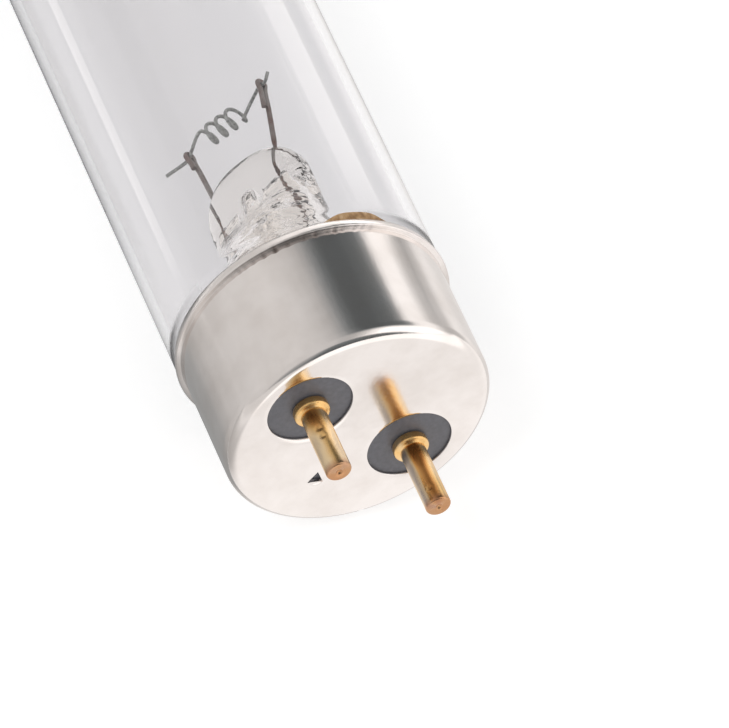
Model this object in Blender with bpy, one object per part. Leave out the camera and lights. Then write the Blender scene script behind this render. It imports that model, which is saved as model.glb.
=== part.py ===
"""Clear-glass germicidal discharge lamp with a two-pin cap on each end.

The lamp lies on its side along X, resting on the flared rims of its two caps.
The origin is under the middle of the lamp, on the surface that it lies on.
Both ends are the same. Each end is built in its own frame: the origin is the centre of the
cap's end face, +X points out of the lamp, the pins stand apart along Y, and the filament
lies along Z. A depth is a distance from the end face into the lamp, so x = -depth.
"""

import math

import bmesh
import bpy
from mathutils import Vector

MM = 0.001

# Glass tube
FACE_TO_FACE = 436.8 * MM
TUBE_RADIUS = 12.7 * MM
TUBE_WALL = 0.8 * MM

# Facets of the turned pieces, the pins, the stem and the wires
TURN_FACETS = 40
PIN_FACETS = 16
STEM_FACETS = 20
WIRE_FACETS = 6

# Clearances: between seated pieces, and round thin wires
SEAT_GAP = 0.1 * MM
WIRE_GAP = 0.05 * MM

# Cap shell, drawn from sheet: a little slimmer than the tube, with a rim that stands proud of it
CAP_STEP = 0.3 * MM
CAP_SHEET = 0.3 * MM
CAP_CORNER = 1.2 * MM
CAP_DEPTH = 13.3 * MM
RIM_FLARE = 1.3 * MM
RIM_PROUD = 0.4 * MM
RIM_LIP = 0.45 * MM
WINDOW_CLEARANCE = 2.775 * MM
VENT_RADIUS = 0.55 * MM
VENT_FROM_CENTRE = 6.8 * MM

# Cement, and the necked end of the glass tube that it holds
CEMENT_THICKNESS = 0.5 * MM
CEMENT_SQUEEZE = 0.35 * MM
CEMENT_SETBACK = 0.4 * MM
NECK_CLEARANCE = 2.7 * MM
SHOULDER_IN_CAP = 2.9 * MM
SHOULDER_PAST_CAP = 1.3 * MM

# Insulating plate behind the end face
PLATE_THICKNESS = 1.5 * MM

# Contact pins
PIN_SPACING = 12.7 * MM
PIN_LENGTH = 7.4 * MM
PIN_RADIUS = 1.175 * MM
PIN_WALL = 0.575 * MM
PIN_TIP_WALL = 1.0 * MM
PIN_TIP_ROUND = 0.25 * MM
DIMPLE_RADIUS = 0.3 * MM
DIMPLE_DEPTH = 0.2 * MM
COLLAR_STEP = 0.475 * MM
COLLAR_HEIGHT = 0.9 * MM
COLLAR_ROUND = 0.25 * MM
RIVET_HEIGHT = 0.4 * MM
CRIMP_RADIUS = 0.28 * MM
CRIMP_DEPTH = 0.14 * MM
CRIMPS_FROM_TIP = {"a": (4.4 * MM, 3.5 * MM), "b": (1.5 * MM,)}
CRIMP_ANGLE = math.radians(149)
PIN_TILT = -math.radians(43.35)

# Glass stem: flare, tube, flat press and exhaust tube, all one piece
FLARE_SETBACK = 0.3 * MM
FLARE_LENGTH = 8.1 * MM
STEM_RADIUS = 5.75 * MM
STEM_WALL = 1.25 * MM
STEM_TUBE_LENGTH = 7.0 * MM
PRESS_TAPER = 6.5 * MM
PRESS_SPREAD = 0.25 * MM
PRESS_WALL = 0.75 * MM
PRESS_DOME = 5.3 * MM
PRESS_CAVITY = 0.7 * MM
CAVITY_EDGE = 0.3 * MM
EXHAUST_BORE_RADIUS = 1.0 * MM
EXHAUST_WALL = 0.7 * MM
EXHAUST_TIP_GAP = 1.0 * MM
PORT_RADIUS = 0.7 * MM
PORT_FROM_CAVITY = 1.0 * MM

# Wires that carry the filament
LEAD_RADIUS = 0.25 * MM
LEAD_GRIP = 2.8 * MM
LEAD_RISE = 5.25 * MM
SEAL_WIRE_RADIUS = 0.15 * MM
WIRE_FROM_STEM_WALL = 0.42 * MM
CLAMP_SPREAD = 1.1 * MM
CLAMP_LEAN = 0.7 * MM
HOOK_LENGTHS = {"a": 1.4 * MM, "b": 2.3 * MM}

# Way of a seal wire down the flare: share of the flare's length, of the pin's offset and of
# the lead's offset
SEAL_WIRE_SHARES = ((1.0, 0.05, 1.0), (0.5, 0.35, 0.95), (0.0, 0.88, 0.45))

# Filament: a thick strand wound in open turns, with a straight tail at each end
STRAND_RADIUS = 0.17 * MM
COIL_RADIUS = 0.93 * MM
COIL_PITCH = 1.2 * MM
COIL_TURNS = 3.5
COIL_SAG = 0.1 * MM
COIL_SHIFT = 0.3 * MM
COIL_SLOPE = -0.2
TAIL_REACH = 2.2 * MM
TAIL_SHIFT = -0.3 * MM
TAIL_RISE = 0.6 * MM

# Loose mercury inside the tube
MERCURY_RADIUS = 0.45 * MM
MERCURY_FLATTENING = 0.85
MERCURY_FROM_MIDDLE = 70.0 * MM

# Radii that follow
CAP_RADIUS = TUBE_RADIUS - CAP_STEP
CAP_INNER_RADIUS = CAP_RADIUS - CAP_SHEET
CORNER_INNER = CAP_CORNER - CAP_SHEET
RIM_RADIUS = TUBE_RADIUS + RIM_PROUD
NECK_RADIUS = CAP_INNER_RADIUS - CEMENT_THICKNESS - 2 * SEAT_GAP
NECK_INNER_RADIUS = NECK_RADIUS - TUBE_WALL
PIN_BORE_RADIUS = PIN_RADIUS - PIN_WALL
COLLAR_RADIUS = PIN_RADIUS + COLLAR_STEP
WINDOW_RADIUS = PIN_RADIUS + WINDOW_CLEARANCE
STEM_BORE_RADIUS = STEM_RADIUS - STEM_WALL
EXHAUST_RADIUS = EXHAUST_BORE_RADIUS + EXHAUST_WALL
PRESS_HALF_WIDTH = STEM_RADIUS + PRESS_SPREAD
PRESS_HALF_THICKNESS = EXHAUST_BORE_RADIUS + PRESS_WALL

# Depths that follow, from the end face inwards
PLATE_FRONT = CAP_SHEET + SEAT_GAP
PLATE_BACK = PLATE_FRONT + PLATE_THICKNESS
RIVET_FRONT = PLATE_BACK + SEAT_GAP
RIVET_BACK = RIVET_FRONT + RIVET_HEIGHT
PIN_BORE_END = -PIN_LENGTH + PIN_TIP_WALL
NECK_MOUTH = PLATE_BACK + NECK_CLEARANCE
CEMENT_START = NECK_MOUTH + CEMENT_SETBACK
RIM_FLARE_START = CAP_DEPTH - RIM_FLARE
SHOULDER_START = CAP_DEPTH - SHOULDER_IN_CAP
SHOULDER_END = CAP_DEPTH + SHOULDER_PAST_CAP
EXHAUST_TIP = RIVET_BACK + EXHAUST_TIP_GAP
FLARE_MOUTH = NECK_MOUTH + FLARE_SETBACK
FLARE_END = FLARE_MOUTH + FLARE_LENGTH
STEM_TUBE_END = FLARE_END + STEM_TUBE_LENGTH
PRESS_FULL = STEM_TUBE_END + PRESS_TAPER
PRESS_TOP = PRESS_FULL + PRESS_DOME
CAVITY_END = PRESS_FULL + PRESS_CAVITY
PORT_DEPTH = CAVITY_END + PORT_FROM_CAVITY
LEAD_START = PRESS_TOP - LEAD_GRIP
CLAMP_DEPTH = PRESS_TOP + LEAD_RISE
COIL_DEPTH = CLAMP_DEPTH - COIL_SAG

# Places that follow, along the filament and above the floor
LEAD_OFFSET = STEM_BORE_RADIUS - WIRE_FROM_STEM_WALL - SEAL_WIRE_RADIUS
CLAMP_OFFSET = LEAD_OFFSET + CLAMP_SPREAD
HALF_FACET = math.pi / TURN_FACETS
AXIS_HEIGHT = RIM_RADIUS * math.cos(HALF_FACET)

# The two pins, wires and leads of an end, by letter and by the side of the axis they are on
PAIR = (("a", -1), ("b", 1))


def clear_scene():
    """Removes every object of the open file."""
    for old in list(bpy.data.objects):
        bpy.data.objects.remove(old, do_unlink=True)


def make_material(name, colour, roughness, metallic, alpha=1.0, transmission=0.0):
    """A Principled material of one colour."""
    material = bpy.data.materials.new(name)
    material.use_nodes = True
    shader = material.node_tree.nodes["Principled BSDF"]
    shader.inputs["Base Color"].default_value = (*colour, 1.0)
    shader.inputs["Roughness"].default_value = roughness
    shader.inputs["Metallic"].default_value = metallic
    shader.inputs["Alpha"].default_value = alpha
    shader.inputs["Transmission Weight"].default_value = transmission
    material.diffuse_color = (*colour, alpha)
    return material


def make_materials():
    """The finishes of the lamp, by slot name."""
    return {
        "glass": make_material("clear_glass", (0.86, 0.88, 0.88), 0.03, 0.0, 0.35, 0.9),
        "stem_glass": make_material("stem_glass", (0.84, 0.84, 0.82), 0.05, 0.0, 0.45, 0.9),
        "aluminium": make_material("drawn_aluminium", (0.80, 0.78, 0.77), 0.22, 1.0),
        "cement": make_material("basing_cement", (0.30, 0.17, 0.07), 0.8, 0.0),
        "insulator": make_material("pressed_phenolic", (0.09, 0.09, 0.10), 0.45, 0.0),
        "brass": make_material("turned_brass", (0.72, 0.47, 0.20), 0.25, 1.0),
        "nickel": make_material("nickelled_wire", (0.35, 0.31, 0.29), 0.35, 1.0),
        "copper": make_material("copper_clad_wire", (0.50, 0.24, 0.13), 0.35, 1.0),
        "tungsten": make_material("coated_tungsten", (0.30, 0.31, 0.30), 0.7, 0.3),
        "mercury": make_material("mercury", (0.75, 0.75, 0.76), 0.05, 1.0),
    }


def shade(mesh, sharp_angle=35.0):
    """Smooth shading that keeps the corners crisp."""
    mesh.shade_smooth()
    mesh.set_sharp_from_angle(angle=math.radians(sharp_angle))


def add_object(name, mesh, material, parent=None):
    """One named sub-part with its own finish."""
    piece = bpy.data.objects.new(name, mesh)
    bpy.context.scene.collection.objects.link(piece)
    if material is not None:
        mesh.materials.clear()
        mesh.materials.append(material)
    piece.parent = parent
    return piece


def as_cutter(piece):
    """Marks a piece as a tool that only cuts or joins another."""
    piece.hide_render = True
    piece.display_type = "WIRE"
    return piece


def boolean(piece, tool, operation="DIFFERENCE"):
    """Cuts a tool out of a piece, or joins it on."""
    modifier = piece.modifiers.new(tool.name, "BOOLEAN")
    modifier.operation = operation
    modifier.solver = "EXACT"
    modifier.object = tool


def turned_mesh(name, profile, facets, phase=0.0, centre=(0.0, 0.0), closed=True):
    """Spins a profile of (depth, radius) points about an axis along X.

    phase turns the first facet edge. A closed profile is a loop that may touch the axis.
    An open one runs from a point on the axis to another point on it.
    """
    mesh = bpy.data.meshes.new(name)
    shape = bmesh.new()
    across = Vector((0.0, math.cos(phase), math.sin(phase)))
    middle = Vector((0.0, centre[0], centre[1]))
    points = [shape.verts.new(Vector((-depth, 0, 0)) + middle + across * radius)
              for depth, radius in profile]
    edges = [shape.edges.new(pair) for pair in zip(points, points[1:])]
    if closed:
        edges.append(shape.edges.new((points[-1], points[0])))
    bmesh.ops.spin(shape, geom=points + edges, cent=middle, axis=(1, 0, 0),
                   angle=2 * math.pi, steps=facets, use_merge=True)
    bmesh.ops.remove_doubles(shape, verts=shape.verts, dist=1e-7)
    bmesh.ops.dissolve_degenerate(shape, edges=shape.edges, dist=1e-8)
    bmesh.ops.recalc_face_normals(shape, faces=shape.faces)
    shape.to_mesh(mesh)
    shape.free()
    shade(mesh)
    return mesh


def arc(centre_depth, centre_radius, radius, start, end, steps):
    """Points of an arc in the profile plane, with angles measured from -depth to +radius."""
    points = []
    for step in range(steps + 1):
        angle = start + (end - start) * step / steps
        points.append((centre_depth - radius * math.cos(angle),
                       centre_radius + radius * math.sin(angle)))
    return points


def s_curve(depth_a, radius_a, depth_b, radius_b, depth):
    """Radius of a smooth S-shaped passage between two radii, flat at both of its ends."""
    share = min(max((depth - depth_a) / (depth_b - depth_a), 0.0), 1.0)
    return radius_a + (radius_b - radius_a) * (1 - math.cos(math.pi * share)) / 2


def spread(start, end, steps):
    """Evenly spaced values from start to end, both counted."""
    return [start + (end - start) * step / steps for step in range(steps + 1)]


def glass_radius(depth):
    """Outer radius of the glass tube at a depth from the cap's face."""
    return s_curve(SHOULDER_START, NECK_RADIUS, SHOULDER_END, TUBE_RADIUS, depth)


def cap_radius(depth):
    """Outer radius of the cap's side wall, which flares to the rim."""
    return s_curve(RIM_FLARE_START, CAP_RADIUS, CAP_DEPTH - RIM_LIP, RIM_RADIUS, depth)


def turn_phase(tilt):
    """First facet edge of a turned piece, which sets one flat facet straight down."""
    return -math.pi / 2 - tilt + HALF_FACET


def make_glass_tube(materials):
    """The envelope: a straight tube whose two ends neck in to pass into the caps."""
    depths = [NECK_MOUTH] + spread(SHOULDER_START, SHOULDER_END, 4)
    one_end = [(depth - FACE_TO_FACE / 2, glass_radius(depth)) for depth in depths]
    other_end = [(-x, radius) for x, radius in reversed(one_end)]
    outer = one_end + other_end
    inner = [(x, radius - TUBE_WALL) for x, radius in reversed(outer)]
    mesh = turned_mesh("glass_tube", outer + inner, TURN_FACETS, turn_phase(0.0))
    tube = add_object("glass_tube", mesh, materials["glass"])
    tube.location.z = AXIS_HEIGHT
    return tube


def make_mercury(materials):
    """A loose drop of mercury, lying in the bottom of the tube and flattened by its weight."""
    mesh = bpy.data.meshes.new("mercury_drop")
    shape = bmesh.new()
    bmesh.ops.create_uvsphere(shape, u_segments=10, v_segments=6, radius=MERCURY_RADIUS)
    bmesh.ops.scale(shape, vec=(1, 1, MERCURY_FLATTENING), verts=shape.verts)
    shape.to_mesh(mesh)
    shape.free()
    shade(mesh, 60.0)
    drop = add_object("mercury_drop", mesh, materials["mercury"])
    tube_floor = AXIS_HEIGHT - (TUBE_RADIUS - TUBE_WALL) * math.cos(HALF_FACET)
    drop_height = MERCURY_RADIUS * MERCURY_FLATTENING
    drop.location = (MERCURY_FROM_MIDDLE, 0, tube_floor + WIRE_GAP + drop_height)
    return drop


def make_end(side, tilt, turned_round):
    """The frame of one end: an empty at the centre of the cap's end face."""
    end = bpy.data.objects.new(side + "_end", None)
    bpy.context.scene.collection.objects.link(end)
    direction = -1 if turned_round else 1
    end.location = (direction * FACE_TO_FACE / 2, 0, AXIS_HEIGHT)
    end.rotation_euler = (tilt, 0, math.pi if turned_round else 0)
    return end


def round_cutter(name, radius, facets, depth_a, depth_b, centre, end):
    """A round cutter between two depths, parallel to the lamp."""
    profile = [(depth_a, 0.0), (depth_a, radius), (depth_b, radius), (depth_b, 0.0)]
    mesh = turned_mesh(name, profile, facets, 0.0, centre, closed=False)
    return as_cutter(add_object(name, mesh, None, end))


def cone_cutter(name, base_radius, tip_radius, length, end):
    """A cone or rod cutter along its own Z axis, about its middle."""
    mesh = bpy.data.meshes.new(name)
    shape = bmesh.new()
    bmesh.ops.create_cone(shape, cap_ends=True, segments=8, radius1=base_radius,
                          radius2=tip_radius, depth=length)
    shape.to_mesh(mesh)
    shape.free()
    return as_cutter(add_object(name, mesh, None, end))


def make_cap_shell(side, end, tilt, materials):
    """Drawn cup with a rounded corner, a flared rim, two pin windows and a pierced vent."""
    corner_steps = 3
    corner_radius = CAP_RADIUS - CAP_CORNER
    corner = arc(CAP_CORNER, corner_radius, CAP_CORNER, 0, math.pi / 2, corner_steps)
    flare = spread(RIM_FLARE_START, CAP_DEPTH - RIM_LIP, 3)
    outer = [(0.0, 0.0)] + corner + [(depth, cap_radius(depth)) for depth in flare]
    edge_round = CAP_SHEET / 2
    edge = arc(CAP_DEPTH - edge_round, RIM_RADIUS - edge_round, edge_round,
               math.pi / 2, 3 * math.pi / 2, 2)
    inner = [(depth, cap_radius(depth) - CAP_SHEET) for depth in reversed(flare)]
    inner_corner = arc(CAP_CORNER, corner_radius, CORNER_INNER, math.pi / 2, 0, corner_steps)
    profile = outer + edge + inner + inner_corner + [(CAP_SHEET, 0.0)]
    name = side + "_cap_shell"
    mesh = turned_mesh(name, profile, TURN_FACETS, turn_phase(tilt), closed=False)
    shell = add_object(name, mesh, materials["aluminium"], end)
    through = (-CAP_SHEET, 2 * CAP_SHEET)
    for label, sense in PAIR:
        boolean(shell, round_cutter(f"{side}_window_{label}", WINDOW_RADIUS, 24, *through,
                                    (sense * PIN_SPACING / 2, 0.0), end))
    boolean(shell, round_cutter(side + "_vent", VENT_RADIUS, 3, *through,
                                (0.0, -VENT_FROM_CENTRE), end))
    return shell


def make_cement(side, end, tilt, materials):
    """Ring of cement that fills the space between the neck and the cap, out past the rim."""
    tip = CAP_DEPTH + CEMENT_SQUEEZE
    inner_depths = [CEMENT_START] + spread(SHOULDER_START, tip, 2)
    inner = [(depth, glass_radius(depth) + SEAT_GAP) for depth in inner_depths]
    bead = (tip - CEMENT_SQUEEZE / 3, RIM_RADIUS - CAP_SHEET / 2)
    outer_depths = [CAP_DEPTH, CAP_DEPTH - RIM_LIP, RIM_FLARE_START, CEMENT_START]
    outer = [(depth, cap_radius(depth) - CAP_SHEET - SEAT_GAP) for depth in outer_depths]
    name = side + "_cap_cement"
    mesh = turned_mesh(name, inner + [bead] + outer, TURN_FACETS, turn_phase(tilt))
    return add_object(name, mesh, materials["cement"], end)


def make_insulator(side, end, tilt, materials):
    """Insulating plate that fills the cap behind the face and carries both pins."""
    edge = arc(CAP_CORNER, CAP_RADIUS - CAP_CORNER, CORNER_INNER - SEAT_GAP, 0, math.pi / 2, 2)
    profile = [(PLATE_FRONT, 0.0)] + edge
    profile += [(PLATE_BACK, CAP_INNER_RADIUS - SEAT_GAP), (PLATE_BACK, 0.0)]
    name = side + "_insulator"
    mesh = turned_mesh(name, profile, TURN_FACETS, turn_phase(tilt), closed=False)
    plate = add_object(name, mesh, materials["insulator"], end)
    for label, sense in PAIR:
        boolean(plate, round_cutter(f"{side}_pin_hole_{label}", PIN_RADIUS + WIRE_GAP, PIN_FACETS,
                                    0.0, PLATE_BACK + PLATE_THICKNESS,
                                    (sense * PIN_SPACING / 2, 0.0), end))
    return plate


def make_pin(side, label, sense, end, materials):
    """Hollow riveted contact pin: dimpled flat tip, shank with crimps, collar, rivet head."""
    offset = sense * PIN_SPACING / 2
    collar_back = PLATE_FRONT - SEAT_GAP
    collar_front = collar_back - COLLAR_HEIGHT
    tip = arc(-PIN_LENGTH + PIN_TIP_ROUND, PIN_RADIUS - PIN_TIP_ROUND, PIN_TIP_ROUND,
              0, math.pi / 2, 2)
    collar = arc(collar_front + COLLAR_ROUND, COLLAR_RADIUS - COLLAR_ROUND, COLLAR_ROUND,
                 0, math.pi / 2, 2)
    profile = [(-PIN_LENGTH + DIMPLE_DEPTH, 0.0), (-PIN_LENGTH, DIMPLE_RADIUS)] + tip
    profile += [(collar_front, PIN_RADIUS)] + collar
    profile += [(collar_back, COLLAR_RADIUS), (collar_back, PIN_RADIUS)]
    profile += [(RIVET_FRONT, PIN_RADIUS), (RIVET_FRONT, COLLAR_RADIUS)]
    profile += [(RIVET_BACK, COLLAR_RADIUS), (RIVET_BACK, PIN_BORE_RADIUS)]
    profile += [(PIN_BORE_END, PIN_BORE_RADIUS), (PIN_BORE_END, 0.0)]
    name = f"{side}_pin_{label}"
    mesh = turned_mesh(name, profile, PIN_FACETS, 0.0, (offset, 0.0), closed=False)
    pin = add_object(name, mesh, materials["brass"], end)
    for number, from_tip in enumerate(CRIMPS_FROM_TIP[label], 1):
        crimp = cone_cutter(f"{name}_crimp_{number}", 2 * CRIMP_RADIUS, 0.0, 2 * CRIMP_DEPTH, end)
        crimp.location = (PIN_LENGTH - from_tip, offset + PIN_RADIUS * math.cos(CRIMP_ANGLE),
                          PIN_RADIUS * math.sin(CRIMP_ANGLE))
        crimp.rotation_euler.x = CRIMP_ANGLE + math.pi / 2
        boolean(pin, crimp)
    return pin


def loft_mesh(name, rings, top, hollow_rings, hollow_top):
    """A cup of stacked oval rings: an outer skin, a hollow inside it, joined at the mouth.

    A ring is (depth, half width along Z, half thickness along Y, squareness). Squareness 1
    is an ellipse, and a smaller value gives flatter sides. Each skin closes at its own top.
    """
    mesh = bpy.data.meshes.new(name)
    shape = bmesh.new()

    def oval(depth, width, thickness, squareness):
        loop = []
        for step in range(STEM_FACETS):
            angle = 2 * math.pi * (step + 0.5) / STEM_FACETS
            across = math.copysign(abs(math.sin(angle)) ** squareness, math.sin(angle))
            along = math.copysign(abs(math.cos(angle)) ** squareness, math.cos(angle))
            loop.append(shape.verts.new((-depth, thickness * across, width * along)))
        return loop

    def skin(loops, end_depth):
        for first, second in zip(loops, loops[1:]):
            join_loops(shape, first, second)
        pole = shape.verts.new((-end_depth, 0, 0))
        last = loops[-1]
        for corner, after in zip(last, last[1:] + last[:1]):
            shape.faces.new((corner, after, pole))

    outer = [oval(*ring) for ring in rings]
    inner = [oval(*ring) for ring in hollow_rings]
    skin(outer, top)
    skin(inner, hollow_top)
    join_loops(shape, outer[0], inner[0])
    bmesh.ops.recalc_face_normals(shape, faces=shape.faces)
    shape.to_mesh(mesh)
    shape.free()
    shade(mesh, 50.0)
    return mesh


def join_loops(shape, first, second):
    """A band of four-sided faces between two loops with as many points."""
    for step in range(len(first)):
        after = (step + 1) % len(first)
        shape.faces.new((first[step], first[after], second[after], second[step]))


def trumpet(mouth_radius, tube_radius):
    """Round rings of the flare, from its mouth to the stem tube."""
    rings = []
    for share in spread(1.0, 0.0, 4):
        radius = tube_radius + (mouth_radius - tube_radius) * share ** 2
        rings.append((FLARE_END - share * FLARE_LENGTH, radius, radius, 1.0))
    return rings


def stem_rings():
    """Outer skin of the stem: trumpet flare, tube, then the press with its domed top."""
    rings = trumpet(NECK_INNER_RADIUS - SEAT_GAP, STEM_RADIUS)
    press_squareness = 0.75
    for depth in spread(STEM_TUBE_END, PRESS_FULL, 3):
        ends = (STEM_TUBE_END, PRESS_FULL)
        width = s_curve(ends[0], STEM_RADIUS, ends[1], PRESS_HALF_WIDTH, depth)
        thickness = s_curve(ends[0], STEM_RADIUS, ends[1], PRESS_HALF_THICKNESS, depth)
        squareness = s_curve(ends[0], 1.0, ends[1], press_squareness, depth)
        rings.append((depth, width, thickness, squareness))
    for angle in spread(0.0, math.pi / 2, 6)[1:-1]:
        rings.append((PRESS_FULL + PRESS_DOME * math.sin(angle),
                      PRESS_HALF_WIDTH * math.cos(angle) ** 0.7,
                      PRESS_HALF_THICKNESS * math.cos(angle) ** 0.3, press_squareness))
    return rings


def hollow_rings():
    """Inner skin of the stem: the flare and tube, closing to a flat wedge in the press."""
    rings = trumpet(NECK_INNER_RADIUS - SEAT_GAP - STEM_WALL, STEM_BORE_RADIUS)
    end = CAVITY_END - CAVITY_EDGE
    for depth in spread(STEM_TUBE_END, end, 3):
        thickness = s_curve(STEM_TUBE_END, STEM_BORE_RADIUS, end, CAVITY_EDGE, depth)
        rings.append((depth, STEM_BORE_RADIUS, thickness, 1.0))
    return rings


def make_stem(side, end, materials):
    """One piece of glass: flare, stem tube, press round both wires, and exhaust tube."""
    name = side + "_stem"
    mesh = loft_mesh(name, stem_rings(), PRESS_TOP, hollow_rings(), CAVITY_END)
    stem = add_object(name, mesh, materials["stem_glass"], end)
    boolean(stem, exhaust_tube(side, end), "UNION")
    boolean(stem, round_cutter(side + "_exhaust_bore", EXHAUST_BORE_RADIUS, 12,
                               EXHAUST_TIP + EXHAUST_RADIUS, PORT_DEPTH, (0, 0), end))
    boolean(stem, exhaust_port(side, end))
    for label, sense in PAIR:
        boolean(stem, wire_hole(side, label, sense, end))
    return stem


def exhaust_tube(side, end):
    """Thin tube inside the stem, drawn to a rounded tip where it was sealed off."""
    root = PORT_DEPTH + EXHAUST_WALL
    tip = arc(EXHAUST_TIP + EXHAUST_RADIUS, 0.0, EXHAUST_RADIUS, 0, math.pi / 2, 3)
    profile = tip + [(root, EXHAUST_RADIUS), (root, 0.0)]
    name = side + "_exhaust_tube"
    return as_cutter(add_object(name, turned_mesh(name, profile, 12, closed=False), None, end))


def exhaust_port(side, end):
    """Cross hole that opens the exhaust tube into the lamp on one side of the press."""
    reach = 2 * PRESS_HALF_THICKNESS
    port = cone_cutter(side + "_exhaust_port", PORT_RADIUS, PORT_RADIUS, reach, end)
    port.location = (-PORT_DEPTH + PORT_RADIUS, reach / 2, 0)
    port.rotation_euler.x = math.pi / 2
    return port


def wire_hole(side, label, sense, end):
    """Stepped hole through the press: narrow for the seal wire, wider for the lead."""
    narrow = SEAL_WIRE_RADIUS + WIRE_GAP
    wide = LEAD_RADIUS + WIRE_GAP
    step_depth = LEAD_START - WIRE_GAP
    past_top = PRESS_TOP + wide
    profile = [(STEM_TUBE_END, 0.0), (STEM_TUBE_END, narrow), (step_depth, narrow),
               (step_depth, wide), (past_top, wide), (past_top, 0.0)]
    name = f"{side}_wire_hole_{label}"
    mesh = turned_mesh(name, profile, WIRE_FACETS, 0.0, (0.0, sense * LEAD_OFFSET), closed=False)
    return as_cutter(add_object(name, mesh, None, end))


def wire_mesh(name, path, radius):
    """A round wire swept along a path of points, with flat closed ends."""
    mesh = bpy.data.meshes.new(name)
    shape = bmesh.new()
    path = [Vector(point) for point in path]
    tangents = [(after - before).normalized()
                for before, after in zip(path[:1] + path[:-1], path[1:] + path[-1:])]
    side = tangents[0].orthogonal().normalized()
    loops = []
    for point, tangent in zip(path, tangents):
        side = (side - tangent * side.dot(tangent)).normalized()
        up = tangent.cross(side)
        angles = [2 * math.pi * step / WIRE_FACETS for step in range(WIRE_FACETS)]
        loops.append([shape.verts.new(point + (side * math.cos(a) + up * math.sin(a)) * radius)
                      for a in angles])
    for first, second in zip(loops, loops[1:]):
        join_loops(shape, first, second)
    shape.faces.new(loops[0])
    shape.faces.new(loops[-1])
    bmesh.ops.recalc_face_normals(shape, faces=shape.faces)
    shape.to_mesh(mesh)
    shape.free()
    shade(mesh, 60.0)
    return mesh


def smooth_path(points, steps):
    """A Catmull-Rom curve through the points, each span in a few steps."""
    points = [Vector(point) for point in points]
    padded = [2 * points[0] - points[1]] + points + [2 * points[-1] - points[-2]]
    path = [points[0]]
    for before, start, stop, after in zip(padded, padded[1:], padded[2:], padded[3:]):
        for share in spread(0.0, 1.0, steps)[1:]:
            path.append(0.5 * (2 * start + (stop - before) * share
                               + (2 * before - 5 * start + 4 * stop - after) * share ** 2
                               + (3 * start - before - 3 * stop + after) * share ** 3))
    return path


def clamp_place(sense):
    """Place of a hook along the filament: both hooks lean a little to one side."""
    return sense * CLAMP_OFFSET + CLAMP_LEAN


def make_lead(side, label, sense, end, materials):
    """Stiff wire from the press to the filament, with its top folded over the strand."""
    bend = LEAD_RADIUS + STRAND_RADIUS + WIRE_GAP
    foot = sense * LEAD_OFFSET
    clamp = clamp_place(sense)
    hook = HOOK_LENGTHS[label]
    hook_share = hook / LEAD_RISE
    straight = 2 * LEAD_RADIUS
    knee = Vector((hook, -bend * hook_share, (foot - clamp) * hook_share))
    upright_top = Vector((-CLAMP_DEPTH, bend, clamp))
    folded_top = Vector((-CLAMP_DEPTH, -bend, clamp))
    mirrored_knee = Vector((knee.x, -knee.y, knee.z))
    path = smooth_path([(-LEAD_START, 0, foot), (-PRESS_TOP + straight, 0, foot),
                        (-PRESS_TOP, 0, foot), upright_top + knee, upright_top], 2)
    for angle in spread(0.0, math.pi, 5)[1:]:
        path.append(Vector((-CLAMP_DEPTH - bend * math.sin(angle), bend * math.cos(angle), clamp)))
    path.append(folded_top + mirrored_knee)
    name = f"{side}_lead_{label}"
    return add_object(name, wire_mesh(name, path, LEAD_RADIUS), materials["nickel"], end)


def make_seal_wire(side, label, sense, end, materials):
    """Thin wire from the lead through the press, down the stem and into the pin."""
    height = sense * LEAD_OFFSET
    across = sense * PIN_SPACING / 2
    route = [(-LEAD_START + 2 * WIRE_GAP, 0, height), (-STEM_TUBE_END, 0, height)]
    for flare_share, pin_share, lead_share in SEAL_WIRE_SHARES:
        depth = FLARE_MOUTH + flare_share * FLARE_LENGTH
        route.append((-depth, pin_share * across, lead_share * height))
    route += [(-RIVET_BACK, across, 0), (-PLATE_FRONT, across, 0),
              (-PIN_BORE_END - SEAT_GAP, across, 0)]
    name = f"{side}_seal_wire_{label}"
    mesh = wire_mesh(name, smooth_path(route, 3), SEAL_WIRE_RADIUS)
    return add_object(name, mesh, materials["copper"], end)


def strand_path():
    """Centre line of the strand: tail, clamp, leg, open turns, leg, clamp, tail."""
    steps_per_turn = 10
    in_hook = 2 * LEAD_RADIUS
    ends = []
    for sense in (-1, 1):
        tail = sense * (CLAMP_OFFSET + TAIL_REACH) + TAIL_SHIFT
        clamp = clamp_place(sense)
        ends.append([(-CLAMP_DEPTH - TAIL_RISE, 0, tail),
                     (-CLAMP_DEPTH, 0, clamp + sense * in_hook),
                     (-CLAMP_DEPTH, 0, clamp - sense * in_hook)])
    coil = []
    for turn in spread(0.0, COIL_TURNS, int(COIL_TURNS * steps_per_turn)):
        angle = 2 * math.pi * turn
        from_middle = COIL_PITCH * (turn - COIL_TURNS / 2)
        depth = COIL_DEPTH + COIL_SLOPE * from_middle + COIL_RADIUS * math.cos(angle)
        coil.append((-depth, COIL_RADIUS * math.sin(angle), COIL_SHIFT + from_middle))
    return ends[0] + coil + ends[1][::-1]


def make_filament(side, end, materials):
    """Electrode: the coated tungsten strand hung between the two hooks."""
    name = side + "_filament"
    mesh = wire_mesh(name, strand_path(), STRAND_RADIUS)
    return add_object(name, mesh, materials["tungsten"], end)


def build_end(side, tilt, turned_round, materials):
    """Everything at one end of the lamp."""
    end = make_end(side, tilt, turned_round)
    make_cap_shell(side, end, tilt, materials)
    make_cement(side, end, tilt, materials)
    make_insulator(side, end, tilt, materials)
    make_stem(side, end, materials)
    for label, sense in PAIR:
        make_pin(side, label, sense, end, materials)
        make_lead(side, label, sense, end, materials)
        make_seal_wire(side, label, sense, end, materials)
    make_filament(side, end, materials)


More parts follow.
